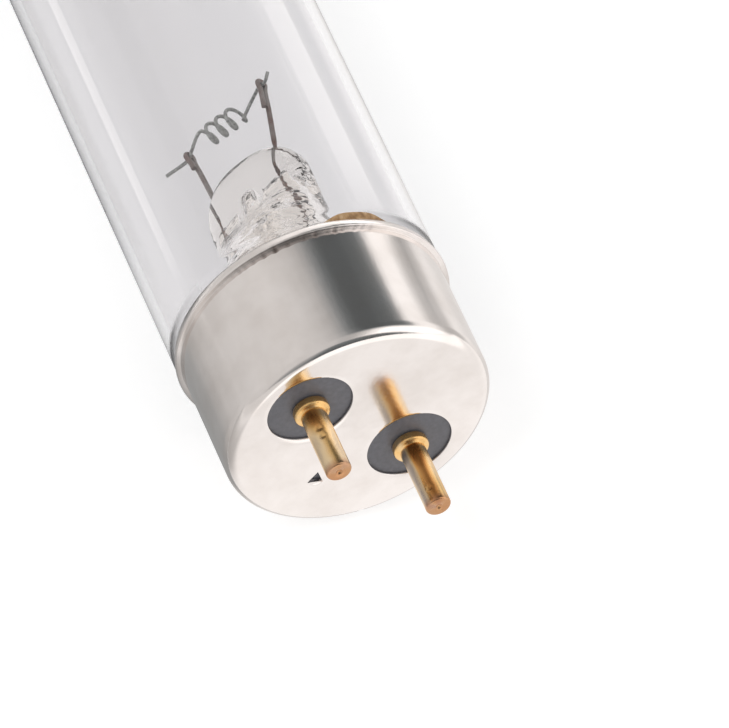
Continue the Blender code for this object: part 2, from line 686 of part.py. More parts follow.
def main():
    """Builds the lamp: the tube, and the same parts at both ends, with all pins in one plane."""
    clear_scene()
    materials = make_materials()
    make_glass_tube(materials)
    make_mercury(materials)
    build_end("near", PIN_TILT, False, materials)
    build_end("far", -PIN_TILT, True, materials)


main()
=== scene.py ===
"""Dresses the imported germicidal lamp: fine shapes, finishes, studio light and the camera.

A place in an end of the lamp is given as (depth, y, z): depth from the cap's end face into the
lamp, y along the line of the two pins, z along the filament. All lengths are in millimetres
there, and to_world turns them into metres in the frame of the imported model. The studio is in
metres throughout.
"""

import math

import bpy
import numpy as np
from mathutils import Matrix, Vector


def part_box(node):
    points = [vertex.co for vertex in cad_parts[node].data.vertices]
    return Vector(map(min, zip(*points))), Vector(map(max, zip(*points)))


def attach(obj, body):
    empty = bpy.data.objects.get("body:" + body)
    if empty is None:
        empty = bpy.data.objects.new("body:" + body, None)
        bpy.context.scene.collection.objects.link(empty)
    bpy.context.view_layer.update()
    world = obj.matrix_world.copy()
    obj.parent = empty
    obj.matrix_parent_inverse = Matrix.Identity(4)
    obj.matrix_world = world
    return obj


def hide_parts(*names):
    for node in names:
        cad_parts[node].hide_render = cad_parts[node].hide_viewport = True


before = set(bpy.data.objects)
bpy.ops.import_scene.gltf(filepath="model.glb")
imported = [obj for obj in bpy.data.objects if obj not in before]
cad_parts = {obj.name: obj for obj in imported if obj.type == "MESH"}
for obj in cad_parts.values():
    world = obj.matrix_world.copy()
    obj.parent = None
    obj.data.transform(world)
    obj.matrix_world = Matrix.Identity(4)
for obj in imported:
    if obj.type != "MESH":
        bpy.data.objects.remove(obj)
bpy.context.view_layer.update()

MM = 0.001
SIDES = ("near", "far")
PAIR = (("a", -1), ("b", 1))

# Main sizes, in mm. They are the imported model's, but for the rim's radius, which is 0.2 mm
# less here, as in the photograph.
FACE_TO_FACE = 436.8
TUBE_RADIUS = 12.7
TUBE_WALL = 0.8
CAP_RADIUS = 12.4
CAP_SHEET = 0.3
CAP_CORNER = 1.2
CAP_DEPTH = 13.3
RIM_RADIUS = 12.9
PIN_OFFSET = 6.35
PIN_LENGTH = 7.4
PIN_RADIUS = 1.175
COLLAR_RADIUS = 1.65
PIN_TILT = math.radians(-43.35)
AXIS_HEIGHT = 13.0596
NECK_RADIUS = 11.4
NECK_MOUTH = 4.6
SHOULDER = (10.4, 14.6)

# Where a lead meets its seal wire in the press, and where its fold holds the filament, in mm
FOOT_DEPTH = 28.6
FOOT_OFFSET = 3.72
CLAMP_DEPTH = 37.05


# Shapes

def to_world(points, side):
    """Places of an end, in mm, as world places in metres.

    The end is turned by the tilt of its pins about the lamp's axis and set at its end of the
    lamp. The far end is the near end turned half round about the vertical, with its pins in
    the same plane.
    """
    sign = 1.0 if side == "near" else -1.0
    depth, y, z = points[..., 0], points[..., 1] * sign, points[..., 2]
    cosine, sine = math.cos(PIN_TILT), math.sin(PIN_TILT)
    world = np.stack([sign * (FACE_TO_FACE / 2 - depth), y * cosine - z * sine,
                      y * sine + z * cosine + AXIS_HEIGHT], axis=-1)
    return world * MM


def grid_faces(rows, columns, closed_rows):
    """Four-sided faces of a grid whose columns run in a ring, and whose rows may too."""
    first = np.arange(rows if closed_rows else rows - 1)[:, None]
    column = np.arange(columns)[None, :]
    after_row = (first + 1) % rows
    after_column = (column + 1) % columns
    corners = [first * columns + column, first * columns + after_column,
               after_row * columns + after_column, after_row * columns + column]
    return np.stack([c * np.ones_like(first * column) for c in corners], -1).reshape(-1, 4)


def outward(points, faces):
    """Faces turned so that the shell's signed volume, the sum of its tetrahedra, is positive."""
    volume = 0.0
    for second, third in ((1, 2), (2, 3)) if faces.shape[1] == 4 else ((1, 2),):
        a, b, c = points[faces[:, 0]], points[faces[:, second]], points[faces[:, third]]
        volume += np.einsum("ij,ij->i", a, np.cross(b, c)).sum()
    return faces if volume > 0 else faces[:, ::-1]


def add_object(name, data):
    """An object in the scene that carries a mesh, a light or a camera."""
    added = bpy.data.objects.new(name, data)
    bpy.context.scene.collection.objects.link(added)
    return added


def set_creases(mesh, sharp=40.0):
    """Smooth shading, with a crease where two faces meet at more than an angle in degrees."""
    mesh.shade_smooth()
    mesh.set_sharp_from_angle(angle=math.radians(sharp))


def set_numbers(piece, name, numbers):
    """Keeps one number for each point of a piece's mesh, for its material to read."""
    attribute = piece.data.attributes.new(name, "FLOAT", "POINT")
    attribute.data.foreach_set("value", numbers.reshape(-1).astype(np.float32))


def piece_from(name, points, closed_rows=False, sharp=40.0):
    """A piece from a grid of world points whose columns run in a ring.

    Rows that don't close on each other end in a pole at the mean of the end ring.
    """
    rows, columns = points.shape[:2]
    flat = points.reshape(-1, 3)
    faces = grid_faces(rows, columns, closed_rows)
    if not closed_rows:
        poles = np.stack([points[0].mean(0), points[-1].mean(0)])
        ring = np.arange(columns)
        after = (ring + 1) % columns
        start = len(flat)
        last = (rows - 1) * columns
        flat = np.concatenate([flat, poles])
        fan_a = np.stack([np.full(columns, start), after, ring, np.full(columns, start)], -1)
        fan_b = np.stack([np.full(columns, start + 1), last + ring, last + after,
                          np.full(columns, start + 1)], -1)
        quads = np.concatenate([faces, fan_a, fan_b])
        kept = outward(flat - flat.mean(0), quads)
        flipped = not np.array_equal(kept, quads)
        faces = [list(face) for face in (faces[:, ::-1] if flipped else faces)]
        fans = np.concatenate([fan_a[:, :3], fan_b[:, :3]])
        faces += [list(face) for face in (fans[:, ::-1] if flipped else fans)]
    else:
        faces = outward(flat - flat.mean(0), faces)
    mesh = bpy.data.meshes.new(name)
    mesh.from_pydata(flat.tolist(), [], [list(map(int, face)) for face in faces])
    set_creases(mesh, sharp)
    return add_object(name, mesh)


def ring_angles(facets):
    """Evenly spaced angles once round a circle, in radians from 0."""
    return 2 * np.pi * np.arange(facets) / facets


def turned(profile, facets, centre=(0.0, 0.0), phase=0.0):
    """Ring grid: each profile point (depth, radius) is carried round an axis at the centre.

    The point at angle a is (depth, centre y + radius cos a, centre z + radius sin a), and the
    first angle is the phase.
    """
    profile = np.asarray(profile, float)
    angle = phase + ring_angles(facets)
    depth, radius = profile[:, :1], profile[:, 1:2]
    return np.stack([depth * np.ones(facets), centre[0] + radius * np.cos(angle),
                     centre[1] + radius * np.sin(angle)], axis=-1)


def arc(depth, radius, size, start, stop, steps):
    """Points of a round in the profile, at angles measured from -depth towards +radius."""
    angle = np.radians(np.linspace(start, stop, steps))
    return np.stack([depth - size * np.cos(angle), radius + size * np.sin(angle)], -1)


def ease(start, stop, value):
    """Smooth 0 to 1 passage between two values, half a cosine wave."""
    share = np.clip((value - start) / (stop - start), 0, 1)
    return (1 - np.cos(np.pi * share)) / 2


def bell(value, middle, width):
    """Bell curve: e to the power of minus the square of the way from the middle, in widths."""
    return np.exp(-((value - middle) / width) ** 2)


def around(angle, middle):
    """The way from the middle to an angle, in radians, taken the short way round."""
    return np.angle(np.exp(1j * (angle - middle)))


def neck(depth):
    """Outer radius of the glass tube at a depth: it necks in, in half a cosine wave."""
    return NECK_RADIUS + (TUBE_RADIUS - NECK_RADIUS) * ease(*SHOULDER, depth)


def along(path, radius, facets):
    """Ring grid of a round wire: a circle of a radius carried along the path.

    Each circle stands square to the path, and its first point keeps to one side.
    """
    path = np.asarray(path, float)
    tangent = np.gradient(path, axis=0)
    tangent /= np.linalg.norm(tangent, axis=1, keepdims=True)
    side = np.zeros_like(path)
    keep = np.array([0.31, 0.87, 0.38])
    for row, direction in enumerate(tangent):
        keep = keep - direction * keep.dot(direction)
        keep /= np.linalg.norm(keep)
        side[row] = keep
    up = np.cross(tangent, side)
    angle = ring_angles(facets)
    radius = np.broadcast_to(radius, len(path))[:, None, None]
    ring = side[:, None] * np.cos(angle)[:, None] + up[:, None] * np.sin(angle)[:, None]
    return path[:, None] + radius * ring


def smooth(points, steps):
    """Catmull-Rom curve through the points: each span is a cubic of its four neighbours."""
    points = np.asarray(points, float)
    padded = np.concatenate([[2 * points[0] - points[1]], points, [2 * points[-1] - points[-2]]])
    share = np.linspace(0, 1, steps, endpoint=False)[None, :, None]
    before, start, stop, after = (padded[i:len(padded) - 3 + i][:, None] for i in range(4))
    spans = 0.5 * (2 * start + (stop - before) * share
                   + (2 * before - 5 * start + 4 * stop - after) * share ** 2
                   + (3 * start - before - 3 * stop + after) * share ** 3)
    return np.concatenate([spans.reshape(-1, 3), points[-1:]])


def cut(piece, tool, operation="DIFFERENCE"):
    """Cuts a closed shape out of a piece, or joins it on, and leaves a plain mesh."""
    modifier = piece.modifiers.new("cut", "BOOLEAN")
    modifier.operation = operation
    modifier.solver = "EXACT"
    modifier.object = tool
    result = piece.evaluated_get(bpy.context.evaluated_depsgraph_get())
    mesh = bpy.data.meshes.new_from_object(result)
    piece.modifiers.clear()
    piece.data = mesh
    bpy.data.objects.remove(tool)
    set_creases(mesh)


def finish_piece(piece, node, material):
    """Gives a piece its finish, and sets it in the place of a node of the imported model."""
    piece.data.materials.clear()
    piece.data.materials.append(material)
    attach(piece, "root")
    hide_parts(node)


# Finishes

def colour(code):
    """Linear colour of an sRGB hex value."""
    srgb = np.array([int(code[i:i + 2], 16) for i in (1, 3, 5)]) / 255
    linear = np.where(srgb <= 0.04045, srgb / 12.92, ((srgb + 0.055) / 1.055) ** 2.4)
    return (*linear.tolist(), 1.0)


def connect(tree, node, links):
    """Feeds a node's inputs, each from a socket or from a node's first output."""
    for name, source in links.items():
        tree.links.new(getattr(source, "outputs", (source,))[0], node.inputs[name])


def add_node(tree, kind, links=None, values=None, stops=(), **settings):
    """Adds a node: settings are its properties, and links and values its inputs.

    Stops are the places and the hex colours of a colour ramp.
    """
    node = tree.nodes.new(kind)
    for name, value in settings.items():
        setattr(node, name, value)
    for name, value in (values or {}).items():
        node.inputs[name].default_value = value
    connect(tree, node, links or {})
    if stops:
        elements = node.color_ramp.elements
        while len(elements) < len(stops):
            elements.new(0.5)
        for element, (place, code) in zip(elements, stops):
            element.position = place
            element.color = colour(code)
    return node


def new_material(name, **values):
    """A Principled material with plain values on the shader's own inputs."""
    material = bpy.data.materials.new(name)
    material.use_nodes = True
    shader = material.node_tree.nodes["Principled BSDF"]
    for key, value in values.items():
        shader.inputs[key.replace("_", " ")].default_value = value
    return material, material.node_tree, shader


def pattern(tree, scale, stretch=(1, 1, 1), detail=3.0, roughness=0.5):
    """Noise on Object coordinates. scale is in cells per metre, stretch is per axis."""
    place = add_node(tree, "ShaderNodeTexCoord").outputs["Object"]
    mapped = add_node(tree, "ShaderNodeMapping", {"Vector": place}, {"Scale": stretch})
    return add_node(tree, "ShaderNodeTexNoise", {"Vector": mapped},
                    {"Scale": scale, "Detail": detail, "Roughness": roughness})


def passage(start, stop, low, high):
    """Values of a Map Range node that turns start to stop into low to high."""
    return {"From Min": start, "From Max": stop, "To Min": low, "To Max": high}


def by_depth(tree, deep, shallow):
    """A value that passes evenly between two (depth, value) pairs, the same at both ends.

    A depth is in mm from a cap's end face, so it is half the lamp's length less |x|.
    """
    place = add_node(tree, "ShaderNodeTexCoord").outputs["Object"]
    along_lamp = add_node(tree, "ShaderNodeSeparateXYZ", {"Vector": place})
    from_middle = add_node(tree, "ShaderNodeMath", {0: along_lamp}, operation="ABSOLUTE")
    start, stop = ((FACE_TO_FACE / 2 - depth) * MM for depth in (deep[0], shallow[0]))
    return add_node(tree, "ShaderNodeMapRange", {"Value": from_middle},
                    passage(start, stop, deep[1], shallow[1]))


def mottled(name, stops, grain, height, **values):
    """A material whose colour follows a noise pattern, with the pattern's relief in metres."""
    material, tree, shader = new_material(name, **values)
    noise = pattern(tree, **grain)
    links = {"Base Color": add_node(tree, "ShaderNodeValToRGB", {"Fac": noise}, stops=stops)}
    if height:
        links["Normal"] = add_node(tree, "ShaderNodeBump", {"Height": noise},
                                   {"Distance": height})
    connect(tree, shader, links)
    return material


def drawn_glass():
    """Soft glass, drawn as a long tube.

    It is clear, with a faint haze on both sides where the burners heated it for the necks.
    """
    material, tree, shader = new_material(
        "clear_glass_drawn", Base_Color=colour("#f3f2f3"), Roughness=0.0, IOR=1.48,
        Transmission_Weight=1.0)
    place = add_node(tree, "ShaderNodeTexCoord").outputs["Object"]
    across = add_node(tree, "ShaderNodeSeparateXYZ", {"Vector": place}).outputs["Y"]
    shifted = add_node(tree, "ShaderNodeMath", {0: across}, {1: 2.2 * MM}, operation="ADD")
    aside = add_node(tree, "ShaderNodeMath", {0: shifted}, operation="ABSOLUTE")
    at_sides = add_node(tree, "ShaderNodeMapRange", {"Value": aside},
                        passage(6.2 * MM, 8.0 * MM, 0, 1))
    haze = add_node(tree, "ShaderNodeMath",
                    {0: by_depth(tree, (15.1, 0.0), (14.3, 0.3)), 1: at_sides},
                    operation="MULTIPLY")
    connect(tree, shader, {"Roughness": haze})
    return material


def pressed_glass():
    """Stem glass, pressed hot: thicker, with an uneven skin and a faint warm grey tint.

    The skin is rippled where the press held it, and almost smooth above that.
    """
    material, tree, shader = new_material(
        "stem_glass_pressed", Base_Color=colour("#fbf8f4"), Roughness=0.0, IOR=1.52,
        Transmission_Weight=1.0)
    ripples = add_node(tree, "ShaderNodeMath",
                       {0: pattern(tree, 420, (1.9, 1, 1), 2.0),
                        1: by_depth(tree, (28.5, 0.15), (27.0, 1.0))}, operation="MULTIPLY")
    relief = add_node(tree, "ShaderNodeBump", {"Height": ripples}, {"Distance": 0.00027})
    connect(tree, shader, {"Normal": relief})
    return material


def drawn_aluminium():
    """Aluminium sheet, drawn into a cup and rolled at its rim.

    It is bright, with fine lines along the draw and faint smudges. The rolled rim is duller,
    and painted shade darkens its pleats and the crease under it.
    """
    material, tree, shader = new_material(
        "aluminium_drawn", Base_Color=colour("#eee9e6"), Metallic=1.0, Roughness=0.13)
    smudge = pattern(tree, 350, detail=4.0)
    clean = add_node(tree, "ShaderNodeValToRGB", {"Fac": smudge},
                     stops=((0.3, "#e9e4e1"), (0.65, "#f2eeec")))
    # Painted shade: the deeper a place lies in a pleat or the crease, the darker its colour
    fold = add_node(tree, "ShaderNodeAttribute", attribute_name="fold").outputs["Fac"]
    fold_shade = add_node(tree, "ShaderNodeMapRange", {"Value": fold}, passage(0.1, 0.9, 0.0, 0.85))
    fold_shaded = add_node(tree, "ShaderNodeMix", {"Factor": fold_shade, 6: clean},
                     {7: colour("#6d625e")}, data_type="RGBA")
    polish = add_node(tree, "ShaderNodeMapRange", {"Value": smudge},
                      passage(0.3, 0.7, 0.15, 0.11))
    rough = add_node(tree, "ShaderNodeMath",
                     {0: polish, 1: by_depth(tree, (12.4, 0.17), (12.2, 0.0))}, operation="ADD")
    lines = add_node(tree, "ShaderNodeBump", {"Height": pattern(tree, 2600, (0.3, 1, 1))},
                     {"Distance": 0.000003})
    connect(tree, shader, {"Base Color": fold_shaded.outputs[2], "Roughness": rough, "Normal": lines})
    return material


def turned_brass():
    """Brass, turned and a little tarnished.

    It is gold, brown along one side, most near the collar, as painted dark reflection, paler
    along two lines, as painted highlight, and copper red at the tip.
    """
    material, tree, shader = new_material(
        "brass_turned", Base_Color=colour("#f2cc8c"), Metallic=1.0, Roughness=0.22)
    stain = pattern(tree, 700, (0.35, 1, 1))
    uneven = add_node(tree, "ShaderNodeMapRange", {"Value": stain},
                      passage(0.3, 0.7, -0.13, 0.13))
    # Above 0.5 the colour turns brown as painted dark reflection, below it pale as painted
    # highlight
    painted_reflection = add_node(tree, "ShaderNodeAttribute", attribute_name="painted_reflection").outputs["Fac"]
    tone = add_node(tree, "ShaderNodeMath", {0: painted_reflection, 1: uneven}, operation="ADD")
    gold = add_node(tree, "ShaderNodeValToRGB", {"Fac": tone},
                    stops=((0.0, "#b9afa4"), (0.3, "#f2d9b0"), (0.5, "#f2c887"),
                           (0.75, "#d29a5c"), (1.0, "#a06a38")))
    at_tip = by_depth(tree, (0.8 - PIN_LENGTH, 0.0), (0.1 - PIN_LENGTH, 0.8))
    tipped = add_node(tree, "ShaderNodeMix", {"Factor": at_tip, 6: gold},
                      {7: colour("#b88767")}, data_type="RGBA")
    polish = add_node(tree, "ShaderNodeMapRange", {"Value": stain},
                      passage(0.3, 0.7, 0.31, 0.24))
    rings = add_node(tree, "ShaderNodeBump", {"Height": pattern(tree, 5000, (1, 0.2, 0.2))},
                     {"Distance": 0.000004})
    connect(tree, shader, {"Base Color": tipped.outputs[2], "Roughness": polish,
                           "Normal": rings})
    return material


def drawn_nickel():
    """Nickelled iron wire, drawn: dark warm grey, with red brown where it was heated."""
    material, tree, shader = new_material(
        "nickel_wire_drawn", Base_Color=colour("#7d726d"), Metallic=1.0, Roughness=0.34)
    heat = add_node(tree, "ShaderNodeValToRGB", {"Fac": pattern(tree, 500, detail=2.0)},
                    stops=((0.35, "#6f5a54"), (0.6, "#8b8581")))
    lines = add_node(tree, "ShaderNodeBump", {"Height": pattern(tree, 9000, detail=2.0)},
                     {"Distance": 0.000004})
    connect(tree, shader, {"Base Color": heat, "Normal": lines})
    return material


def liquid_mercury():
    """Mercury: a liquid mirror, with a faint skin."""
    material, tree, shader = new_material(
        "mercury_liquid", Base_Color=colour("#dcdcdf"), Metallic=1.0, Roughness=0.05)
    skin = add_node(tree, "ShaderNodeMapRange", {"Value": pattern(tree, 2000, detail=2.0)},
                    passage(0.3, 0.7, 0.03, 0.12))
    connect(tree, shader, {"Roughness": skin})
    return material


def make_finishes():
    """The finish of each slot."""
    return {
        "glass": drawn_glass(),
        "stem_glass": pressed_glass(),
        "aluminium": drawn_aluminium(),
        "brass": turned_brass(),
        # Phenolic board, pressed: dark grey, slightly shiny, with a fine fibre grain
        "insulator": mottled(
            "phenolic_pressed", ((0.3, "#6c6d74"), (0.7, "#787981")),
            {"scale": 2200, "detail": 4.0}, 0.00001,
            Base_Color=colour("#76777e"), Roughness=0.42),
        # Basing cement, filled resin baked in place: matt brown with darker scorched spots
        "cement": mottled(
            "cement_baked", ((0.32, "#8a6644"), (0.5, "#bb9468"), (0.68, "#dcc09a")),
            {"scale": 1500, "detail": 5.0, "roughness": 0.6}, 0.00008,
            Base_Color=colour("#bb9468"), Roughness=0.75),
        "nickel": drawn_nickel(),
        # Copper-clad wire for the seal, left to oxidise: dull brown red
        "copper": mottled(
            "copper_wire_oxidised", ((0.35, "#54413a"), (0.65, "#80604f")),
            {"scale": 900, "detail": 2.0}, 0,
            Base_Color=colour("#6d5247"), Metallic=1.0, Roughness=0.4),
        # Tungsten strand dipped in emitter paste: matt grey with a dusty light crust
        "tungsten": mottled(
            "tungsten_emitter_coated", ((0.35, "#8e8f8d"), (0.65, "#cbccc8")),
            {"scale": 4000, "detail": 4.0}, 0.00001,
            Base_Color=colour("#b4b5b2"), Roughness=0.7),
        "mercury": liquid_mercury(),
    }


# Pieces

def make_tube(finishes):
    """Glass tube: the outer neck curve and the same curve one wall inside, as one shell.

    Long shallow draw lines run along it: each skin's radius has a sum of eight cosines of the
    angle, from 5 to 23 waves round the tube and a few thousandths of a millimetre high.
    """
    depth = np.concatenate([[NECK_MOUTH, 7.0, 9.0], np.linspace(*SHOULDER, 25),
                            [18.0, 25.0, 40.0, 70.0, 120.0, 170.0]])
    half = np.stack([depth - FACE_TO_FACE / 2, neck(depth)], -1)
    outer = np.concatenate([half, half[::-1] * (-1, 1)])
    lip = 0.2
    inner = outer[::-1] - (0, TUBE_WALL)
    outer[[0, -1], 1] -= lip
    inner[[0, -1], 1] += lip
    start_lip = np.array([[outer[0, 0] + lip, outer[0, 1] + lip]])
    end_lip = start_lip * (-1, 1)
    inner_lip = np.array([[outer[-1, 0] - lip, inner[0, 1] - lip]])
    profile = np.concatenate([outer[:1], start_lip, outer[1:-1], end_lip, outer[-1:],
                              inner[:1], inner_lip, inner[1:-1], inner_lip * (-1, 1),
                              inner[-1:]])
    facets = 384
    points = turned(profile, facets)
    angle = ring_angles(facets)
    dice = np.random.default_rng(3)
    line_count, line_height = 8, 0.02
    waves = dice.integers(5, 24, line_count)[:, None]
    lines = [(line_height / waves
              * np.cos(waves * angle + dice.uniform(0, 6.28, (line_count, 1)))).sum(0)
             for skin in range(2)]
    is_outer = np.arange(len(profile)) < len(profile) / 2
    points[..., 1:] *= (1 + np.where(is_outer[:, None], *lines) / TUBE_RADIUS)[..., None]
    tube = piece_from("glass_tube_fine", (points + (0, 0, AXIS_HEIGHT)) * MM, closed_rows=True,
                      sharp=60)
    finish_piece(tube, "glass_tube", finishes["glass"])


def make_mercury(finishes):
    """Mercury drop: a ball flattened by its weight, with a wider foot than crown."""
    low, high = (np.array(corner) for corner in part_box("mercury_drop"))
    middle, half = (low + high) / 2, (high - low) / 2
    level = np.linspace(0.02, np.pi - 0.02, 32)[:, None]
    angle = np.linspace(0, 2 * np.pi, 48, endpoint=False)[None, :]
    swell = 0.12
    width = np.sin(level) * (1 - swell * np.cos(level)) / (1 + swell)
    points = np.stack([width * np.cos(angle), width * np.sin(angle),
                       np.cos(level) * np.ones_like(angle)], -1)
    drop = piece_from("mercury_drop_fine", middle + points * half, sharp=180)
    finish_piece(drop, "mercury_drop", finishes["mercury"])


def make_cap(side, finishes):
    """Cap shell: cup profile turned round, with pleats pressed into the foot of its rim.

    The rim is a bead: steep towards the end face, and falling away in a parabola on the lamp's
    side. A pleat takes its depth off the radius, as a bell curve round the cap and along it, and
    the attribute "fold" keeps how deep a place lies in a pleat or in the crease under the rim,
    which the finish darkens there as painted shade.
    The sheet stands up in a low crescent under the vent, also as a bell curve, and is pressed in
    a little round each window, the more so the nearer to its edge.
    """
    face_edge = CAP_RADIUS - CAP_CORNER
    crease, crest, fillet, bead = 12.34, 12.45, 0.05, 0.15
    window, dish, dish_width = 3.95, 0.14, 0.55
    vent, burr, burr_radius, down = (0.59, -6.74), 0.13, 0.85, (0.69, -0.73)
    pleat_count, pleat_width, pleat_depth, crimped_at = 72, 0.16, 0.12, 2.42
    face = np.concatenate([[0.3], np.linspace(2.0, 10.8, 94), [face_edge]])[:-1]
    wall = np.concatenate([[4.0, 8.0], np.linspace(10.8, crease - fillet, 14)])
    bend = np.radians(np.linspace(0, 80, 7))
    fall = np.linspace(0, 0.68, 14)[1:]
    outer = np.concatenate([
        np.stack([wall, np.full_like(wall, CAP_RADIUS)], -1),
        np.stack([crease - fillet + fillet * np.sin(bend),
                  CAP_RADIUS + fillet * (1 - np.cos(bend))], -1),
        arc(crest + 0.02, RIM_RADIUS - bead, bead, 25, 84, 8),
        np.stack([crest + fall, RIM_RADIUS - 0.1 * fall - 0.28 * fall ** 2], -1),
        [(CAP_DEPTH - 0.06, RIM_RADIUS - 0.26), (CAP_DEPTH, RIM_RADIUS - 0.34)]])
    profile = np.concatenate([
        np.stack([0 * face, face], -1),
        arc(CAP_CORNER, face_edge, CAP_CORNER, 0, 90, 16),
        outer,
        [(CAP_DEPTH, RIM_RADIUS - 0.44), (crest, CAP_RADIUS)],
        [(wall[-1], CAP_RADIUS - CAP_SHEET)],
        arc(CAP_CORNER, face_edge, CAP_CORNER - CAP_SHEET, 90, 0, 10),
        [(CAP_SHEET, 8.0), (CAP_SHEET, 4.0), (CAP_SHEET, 0.3)]])
    facets = 480
    points = turned(profile, facets)
    depth = points[..., 0]
    dice = np.random.default_rng(7)
    angle = ring_angles(facets)
    crimped = 0.08 + 0.75 * bell(around(angle, crimped_at), 0, 0.45)
    pleats = np.cumsum(dice.uniform(0.6, 1.5, pleat_count))
    pleats *= 2 * np.pi / pleats[-1]
    gap = around(angle[:, None], pleats)
    press = (dice.uniform(0.2, 1.0, pleat_count) * bell(gap * CAP_RADIUS, 0, pleat_width)).sum(1)
    pleat = crimped * press * bell(depth, crease - 0.12, 0.22)
    line = crimped * bell(depth, crease - 0.04, 0.11)
    outside = (depth > 1.5) & (np.hypot(points[..., 1], points[..., 2]) > CAP_RADIUS - 0.1)
    # How deep a place lies in a pleat or the crease; the finish darkens it as painted shade
    fold = np.clip(0.8 * pleat + 0.8 * line, 0, 1) * outside
    points[..., 1:] *= (1 - pleat_depth * pleat / CAP_RADIUS * (depth > 1.5))[..., None]
    on_face = depth < 0.01
    aside, above = points[..., 1] - vent[0], points[..., 2] - vent[1]
    from_vent = np.hypot(aside, above)
    below = np.clip((down[0] * aside + down[1] * above) / np.maximum(from_vent, 0.1), 0, 1)
    points[..., 0] -= burr * below * bell(from_vent, burr_radius, 0.2) * on_face
    for _, sense in PAIR:
        past_edge = np.hypot(points[..., 1] - sense * PIN_OFFSET, points[..., 2]) - window
        points[..., 0] += dish * np.clip(1 - past_edge / dish_width, 0, 1.2) ** 1.6 * on_face
    cap = piece_from(side + "_cap_shell_fine", to_world(points, side))
    set_numbers(cap, "fold", np.append(fold, (0, 0)))
    for label, sense in PAIR:
        rings = [(-0.5, window + 0.6), (0.09, window + 0.09), (0.14, window + 0.02),
                 (0.19, window), (2 * CAP_SHEET, window)]
        hole = turned(rings, 90, (sense * PIN_OFFSET, 0), 0.017)
        cut(cap, piece_from("window_" + label, to_world(hole, side)))
    hole = turned([(-0.3, 0.95), (0.0, 0.85), (0.6, 0.7)], 3, vent)
    cut(cap, piece_from("vent", to_world(hole, side)))
    finish_piece(cap, side + "_cap_shell", finishes["aluminium"])


def make_cement(side, finishes):
    """Cement ring: the space between neck and cap, with one bead squeezed out past the rim.

    The bead's reach is a flat-topped bell curve round the cap, e to the power of minus the
    fourth power of the way from its middle, over five slow waves of the ring's edge.
    """
    facets = 240
    angle = ring_angles(facets)
    bead_at, bead_width, bead_reach, bead_spread = math.radians(113), 0.21, 0.66, 0.04
    wave, wave_count = 0.04, 5
    reach = bead_reach * np.exp(-(around(angle, bead_at) / bead_width) ** 4)
    reach = reach + wave * np.sin(wave_count * angle)
    start, tip, inset, rounding = 5.0, CAP_DEPTH - 0.05, 0.5, 0.06
    inner_depth = np.linspace(start, tip + rounding, 14)
    inner = np.stack([inner_depth, neck(inner_depth) + 0.04], -1)
    outer = np.array([(tip, RIM_RADIUS - inset + 0.02), (12.6, CAP_RADIUS - 0.05),
                      (11.8, CAP_RADIUS - 0.38), (start, CAP_RADIUS - 0.4)])
    edge = arc(tip, RIM_RADIUS - inset - 0.03, rounding, 200, 70, 9)
    points = turned(np.concatenate([inner, edge, outer]), facets)
    past = np.clip((points[..., 0] - tip) / rounding, 0, 1)
    points[..., 0] += past * reach
    points[..., 1:] *= (1 + bead_spread * past * reach)[..., None]
    ring = piece_from(side + "_cap_cement_fine", to_world(points, side), closed_rows=True)
    finish_piece(ring, side + "_cap_cement", finishes["cement"])


